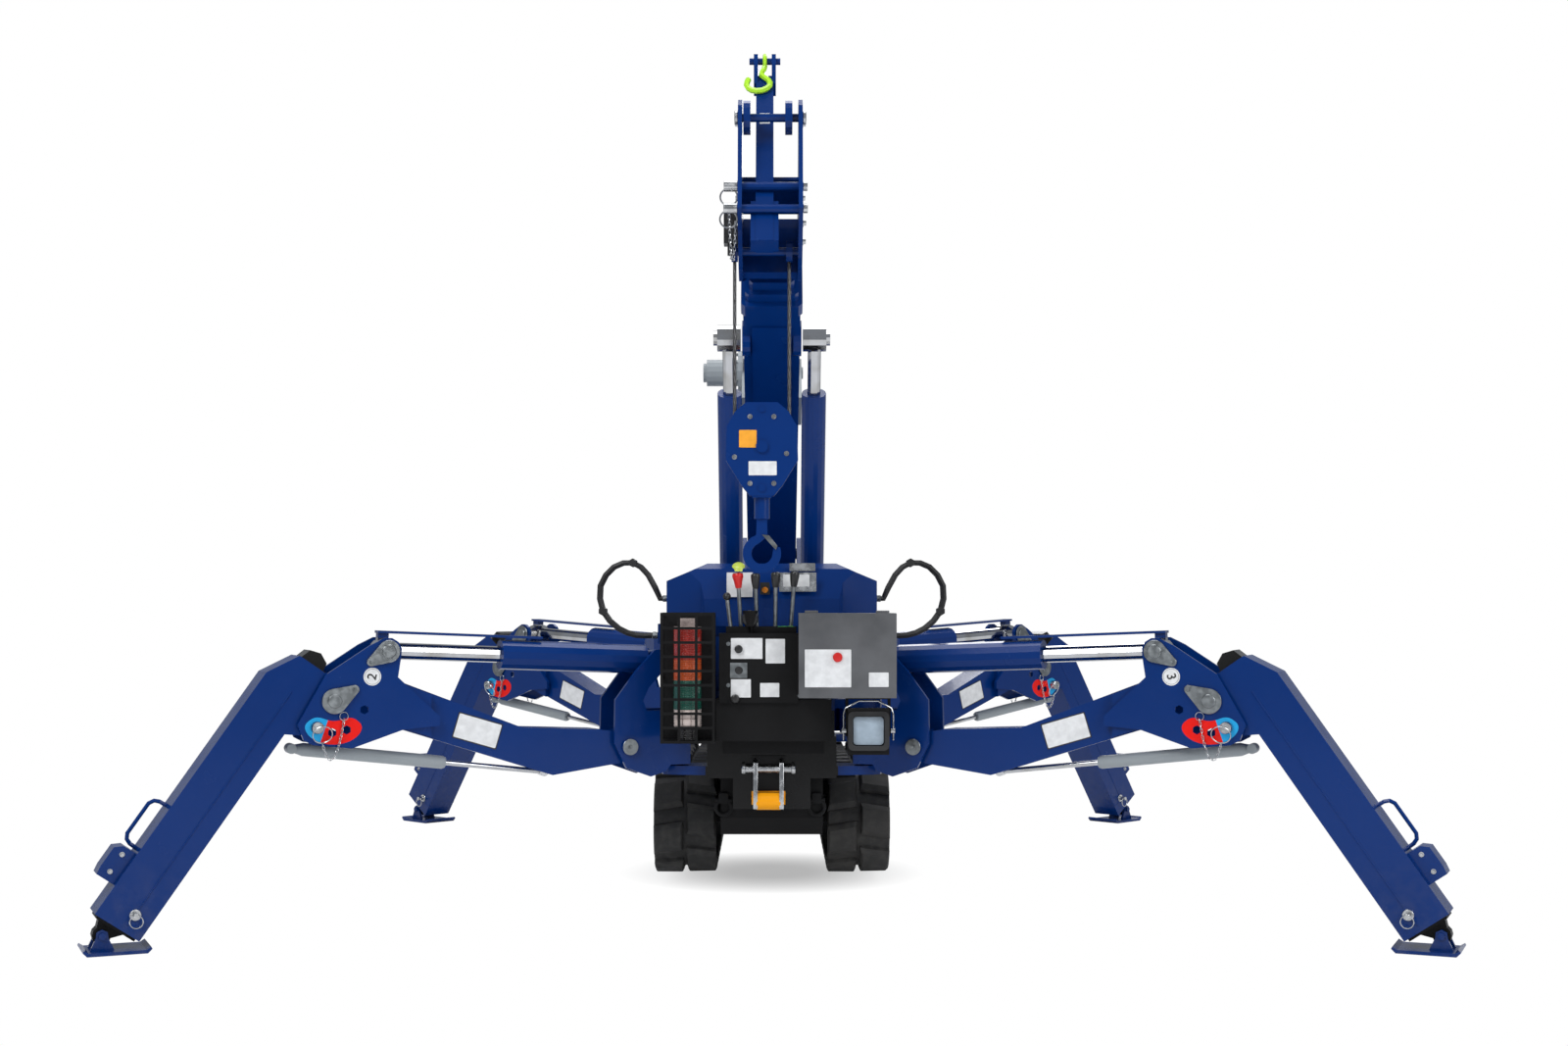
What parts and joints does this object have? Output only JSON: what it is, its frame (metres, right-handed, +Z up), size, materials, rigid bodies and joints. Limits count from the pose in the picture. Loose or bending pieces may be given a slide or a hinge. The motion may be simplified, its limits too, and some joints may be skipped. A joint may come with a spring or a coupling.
{
  "type": "tracked spider crane",
  "caption": "Compact crane on rubber tracks and spread folding outrigger legs, with a slewing telescopic boom, hook block, folded jib, lever console and guarded lamps.",
  "frame": {"origin": "on the ground, under the middle of the box around the whole crane", "axes": "+X to the crane's side that is on the right in the picture, -Y towards the end with the levers, +Z up"},
  "size_m": [3.9132, 3.4989, 2.5725],
  "materials": {
    "blue": "gloss",
    "black": "satin",
    "rubber": "matt",
    "grey": "satin",
    "steel": "satin",
    "chrome": "polished",
    "rope": "greased",
    "lime": "satin",
    "yellow": "satin",
    "lenses": "clear"
  },
  "bodies": {
    "chassis": {"undercarriage": "black", "track_left": "rubber", "track_right": "rubber", "upper_frame": "blue", "console": "black", "remote_box": "grey", "lamp_cage": "black", "lamp_tower": "lenses", "work_lamp": "black", "tow_roller": "yellow", "front_hood": "blue", "engine_hood": "blue", "hose_loop_left": "rubber", "hose_loop_right": "rubber"},
    "turret": {"turntable": "blue"},
    "boom": {"boom_base": "blue", "winch_motor": "steel"},
    "drum": {"winch_drum": "blue"},
    "luff_tubes": {"luff_tubes": "blue"},
    "luff_rods": {"luff_rod_left": "chrome", "luff_rod_right": "chrome"},
    "section_2": {"boom_section_2": "blue"},
    "section_3": {"boom_section_3": "blue"},
    "section_4": {"boom_section_4": "blue", "boom_head": "blue", "jib": "blue", "jib_hook": "lime", "limit_switch": "black"},
    "tackle": {"hoist_rope": "rope", "hook_block": "blue"},
    "hook": {"load_hook": "blue"},
    "front_left_swing_bracket": {"front_left_swing_bracket": "blue"},
    "front_left_arm": {"front_left_arm": "blue"},
    "front_left_lift_tube": {"front_left_lift_tube": "blue"},
    "front_left_lift_rod": {"front_left_lift_rod": "chrome"},
    "front_left_lower_leg": {"front_left_lower_leg": "blue"},
    "front_left_inner_leg": {"front_left_inner_leg": "black"},
    "front_left_foot_pad": {"front_left_foot_pad": "blue"},
    "front_right_swing_bracket": {"front_right_swing_bracket": "blue"},
    "front_right_arm": {"front_right_arm": "blue"},
    "front_right_lift_tube": {"front_right_lift_tube": "blue"},
    "front_right_lift_rod": {"front_right_lift_rod": "chrome"},
    "front_right_lower_leg": {"front_right_lower_leg": "blue"},
    "front_right_inner_leg": {"front_right_inner_leg": "black"},
    "front_right_foot_pad": {"front_right_foot_pad": "blue"},
    "rear_left_swing_bracket": {"rear_left_swing_bracket": "blue"},
    "rear_left_arm": {"rear_left_arm": "blue"},
    "rear_left_lift_tube": {"rear_left_lift_tube": "blue"},
    "rear_left_lift_rod": {"rear_left_lift_rod": "chrome"},
    "rear_left_lower_leg": {"rear_left_lower_leg": "blue"},
    "rear_left_inner_leg": {"rear_left_inner_leg": "black"},
    "rear_left_foot_pad": {"rear_left_foot_pad": "blue"},
    "rear_right_swing_bracket": {"rear_right_swing_bracket": "blue"},
    "rear_right_arm": {"rear_right_arm": "blue"},
    "rear_right_lift_tube": {"rear_right_lift_tube": "blue"},
    "rear_right_lift_rod": {"rear_right_lift_rod": "chrome"},
    "rear_right_lower_leg": {"rear_right_lower_leg": "blue"},
    "rear_right_inner_leg": {"rear_right_inner_leg": "black"},
    "rear_right_foot_pad": {"rear_right_foot_pad": "blue"}
  },
  "joints": [
    {"name": "slew", "type": "hinge", "parent": "chassis", "child": "turret", "pos_m": [0, -0.3, 0.7], "axis": [0, 0, 1], "continuous": true},
    {"name": "luff", "type": "hinge", "parent": "turret", "child": "boom", "pos_m": [0, 0.1, 1.145], "axis": [-1, 0, 0], "range_deg": [-10, 44]},
    {"name": "luff_tube_tilt", "type": "hinge", "parent": "turret", "child": "luff_tubes", "pos_m": [0, -0.66, 0.93], "axis": [-1, 0, 0], "range_deg": [-10, 43]},
    {"name": "luff_rod_slide", "type": "slide", "parent": "luff_tubes", "child": "luff_rods", "axis": [0, -0.5093, 0.8606], "range_m": [-0.135, 0.592]},
    {"name": "telescope_2", "type": "slide", "parent": "boom", "child": "section_2", "axis": [0, -0.866, 0.5], "range_m": [0, 1.25]},
    {"name": "telescope_3", "type": "slide", "parent": "section_2", "child": "section_3", "axis": [0, -0.866, 0.5], "range_m": [0, 1.25]},
    {"name": "telescope_4", "type": "slide", "parent": "section_3", "child": "section_4", "axis": [0, -0.866, 0.5], "range_m": [0, 1.25]},
    {"name": "hang", "type": "hinge", "parent": "section_4", "child": "tackle", "pos_m": [0, -1.52, 1.98], "axis": [-1, 0, 0], "range_deg": [-44.5, 10.5]},
    {"name": "hook_swivel", "type": "hinge", "parent": "tackle", "child": "hook", "pos_m": [-0.028, -1.52, 1.275], "axis": [0, 0, 1], "continuous": true},
    {"name": "drum_turn", "type": "hinge", "parent": "boom", "child": "drum", "pos_m": [0, -0.40982, 1.74996], "axis": [1, 0, 0], "continuous": true},
    {"name": "front_left_swing", "type": "hinge", "parent": "chassis", "child": "front_left_swing_bracket", "pos_m": [-0.3, -0.957, 0.555], "axis": [0, 0, -1], "range_deg": [-18, 21]},
    {"name": "front_left_raise", "type": "hinge", "parent": "front_left_swing_bracket", "child": "front_left_arm", "pos_m": [-0.46535, -1.03062, 0.531], "axis": [-0.4067, 0.9135, 0], "range_deg": [-5, 50]},
    {"name": "front_left_lift_tilt", "type": "hinge", "parent": "front_left_swing_bracket", "child": "front_left_lift_tube", "pos_m": [-0.37582, -0.99076, 0.795], "axis": [-0.4067, 0.9135, 0], "range_deg": [-5.5, 52]},
    {"name": "front_left_lift_slide", "type": "slide", "parent": "front_left_lift_tube", "child": "front_left_lift_rod", "axis": [-0.9126, -0.4063, 0.0448], "range_m": [-0.24, 0.025]},
    {"name": "front_left_knee", "type": "hinge", "parent": "front_left_arm", "child": "front_left_lower_leg", "pos_m": [-1.29394, -1.39953, 0.691], "axis": [0.4067, -0.9135, 0], "range_deg": [0, 110]},
    {"name": "front_left_extend", "type": "slide", "parent": "front_left_lower_leg", "child": "front_left_inner_leg", "axis": [-0.5279, -0.235, -0.8161], "range_m": [0, 0.25]},
    {"name": "front_left_foot", "type": "hinge", "parent": "front_left_inner_leg", "child": "front_left_foot_pad", "pos_m": [-1.87539, -1.65841, 0.04992], "axis": [-0.4067, 0.9135, 0], "range_deg": [-8, 30]},
    {"name": "front_right_swing", "type": "hinge", "parent": "chassis", "child": "front_right_swing_bracket", "pos_m": [0.3, -0.957, 0.555], "axis": [0, 0, 1], "range_deg": [-18, 21]},
    {"name": "front_right_raise", "type": "hinge", "parent": "front_right_swing_bracket", "child": "front_right_arm", "pos_m": [0.46535, -1.03062, 0.531], "axis": [-0.4067, -0.9135, 0], "range_deg": [-5, 50]},
    {"name": "front_right_lift_tilt", "type": "hinge", "parent": "front_right_swing_bracket", "child": "front_right_lift_tube", "pos_m": [0.37582, -0.99076, 0.795], "axis": [-0.4067, -0.9135, 0], "range_deg": [-5.5, 52]},
    {"name": "front_right_lift_slide", "type": "slide", "parent": "front_right_lift_tube", "child": "front_right_lift_rod", "axis": [0.9126, -0.4063, 0.0448], "range_m": [-0.24, 0.025]},
    {"name": "front_right_knee", "type": "hinge", "parent": "front_right_arm", "child": "front_right_lower_leg", "pos_m": [1.29394, -1.39953, 0.691], "axis": [0.4067, 0.9135, 0], "range_deg": [0, 110]},
    {"name": "front_right_extend", "type": "slide", "parent": "front_right_lower_leg", "child": "front_right_inner_leg", "axis": [0.5279, -0.235, -0.8161], "range_m": [0, 0.25]},
    {"name": "front_right_foot", "type": "hinge", "parent": "front_right_inner_leg", "child": "front_right_foot_pad", "pos_m": [1.87539, -1.65841, 0.04992], "axis": [-0.4067, -0.9135, 0], "range_deg": [-8, 30]},
    {"name": "rear_left_swing", "type": "hinge", "parent": "chassis", "child": "rear_left_swing_bracket", "pos_m": [-0.3, 0.4525, 0.555], "axis": [0, 0, 1], "range_deg": [-25.7, 34.3]},
    {"name": "rear_left_raise", "type": "hinge", "parent": "rear_left_swing_bracket", "child": "rear_left_arm", "pos_m": [-0.42954, 0.57891, 0.531], "axis": [0.6984, 0.7157, 0], "range_deg": [-5, 50]},
    {"name": "rear_left_lift_tilt", "type": "hinge", "parent": "rear_left_swing_bracket", "child": "rear_left_lift_tube", "pos_m": [-0.3594, 0.51047, 0.795], "axis": [0.6984, 0.7157, 0], "range_deg": [-5.5, 52]},
    {"name": "rear_left_lift_slide", "type": "slide", "parent": "rear_left_lift_tube", "child": "rear_left_lift_rod", "axis": [-0.715, 0.6977, 0.0448], "range_m": [-0.24, 0.025]},
    {"name": "rear_left_knee", "type": "hinge", "parent": "rear_left_arm", "child": "rear_left_lower_leg", "pos_m": [-1.07867, 1.21238, 0.691], "axis": [-0.6984, -0.7157, 0], "range_deg": [0, 110]},
    {"name": "rear_left_extend", "type": "slide", "parent": "rear_left_lower_leg", "child": "rear_left_inner_leg", "axis": [-0.4136, 0.4036, -0.8161], "range_m": [0, 0.25]},
    {"name": "rear_left_foot", "type": "hinge", "parent": "rear_left_inner_leg", "child": "rear_left_foot_pad", "pos_m": [-1.53419, 1.6569, 0.04992], "axis": [0.6984, 0.7157, 0], "range_deg": [-8, 30]},
    {"name": "rear_right_swing", "type": "hinge", "parent": "chassis", "child": "rear_right_swing_bracket", "pos_m": [0.3, 0.4525, 0.555], "axis": [0, 0, -1], "range_deg": [-25.7, 34.3]},
    {"name": "rear_right_raise", "type": "hinge", "parent": "rear_right_swing_bracket", "child": "rear_right_arm", "pos_m": [0.42954, 0.57891, 0.531], "axis": [0.6984, -0.7157, 0], "range_deg": [-5, 50]},
    {"name": "rear_right_lift_tilt", "type": "hinge", "parent": "rear_right_swing_bracket", "child": "rear_right_lift_tube", "pos_m": [0.3594, 0.51047, 0.795], "axis": [0.6984, -0.7157, 0], "range_deg": [-5.5, 52]},
    {"name": "rear_right_lift_slide", "type": "slide", "parent": "rear_right_lift_tube", "child": "rear_right_lift_rod", "axis": [0.715, 0.6977, 0.0448], "range_m": [-0.24, 0.025]},
    {"name": "rear_right_knee", "type": "hinge", "parent": "rear_right_arm", "child": "rear_right_lower_leg", "pos_m": [1.07867, 1.21238, 0.691], "axis": [-0.6984, 0.7157, 0], "range_deg": [0, 110]},
    {"name": "rear_right_extend", "type": "slide", "parent": "rear_right_lower_leg", "child": "rear_right_inner_leg", "axis": [0.4136, 0.4036, -0.8161], "range_m": [0, 0.25]},
    {"name": "rear_right_foot", "type": "hinge", "parent": "rear_right_inner_leg", "child": "rear_right_foot_pad", "pos_m": [1.53419, 1.6569, 0.04992], "axis": [0.6984, -0.7157, 0], "range_deg": [-8, 30]}
  ],
  "couplings": [
    {"joint": "luff_tube_tilt", "follows": "luff", "ratio": 0.97},
    {"joint": "luff_rod_slide", "follows": "luff", "m_per_rad": 0.767},
    {"joint": "hang", "follows": "luff", "ratio": -1},
    {"joint": "telescope_3", "follows": "telescope_2", "ratio": 1},
    {"joint": "telescope_4", "follows": "telescope_2", "ratio": 1},
    {"joint": "front_left_lift_tilt", "follows": "front_left_raise", "ratio": 1.02},
    {"joint": "front_left_lift_slide", "follows": "front_left_raise", "m_per_rad": -0.2697},
    {"joint": "front_right_lift_tilt", "follows": "front_right_raise", "ratio": 1.02},
    {"joint": "front_right_lift_slide", "follows": "front_right_raise", "m_per_rad": -0.2697},
    {"joint": "rear_left_lift_tilt", "follows": "rear_left_raise", "ratio": 1.02},
    {"joint": "rear_left_lift_slide", "follows": "rear_left_raise", "m_per_rad": -0.2697},
    {"joint": "rear_right_lift_tilt", "follows": "rear_right_raise", "ratio": 1.02},
    {"joint": "rear_right_lift_slide", "follows": "rear_right_raise", "m_per_rad": -0.2697}
  ]
}
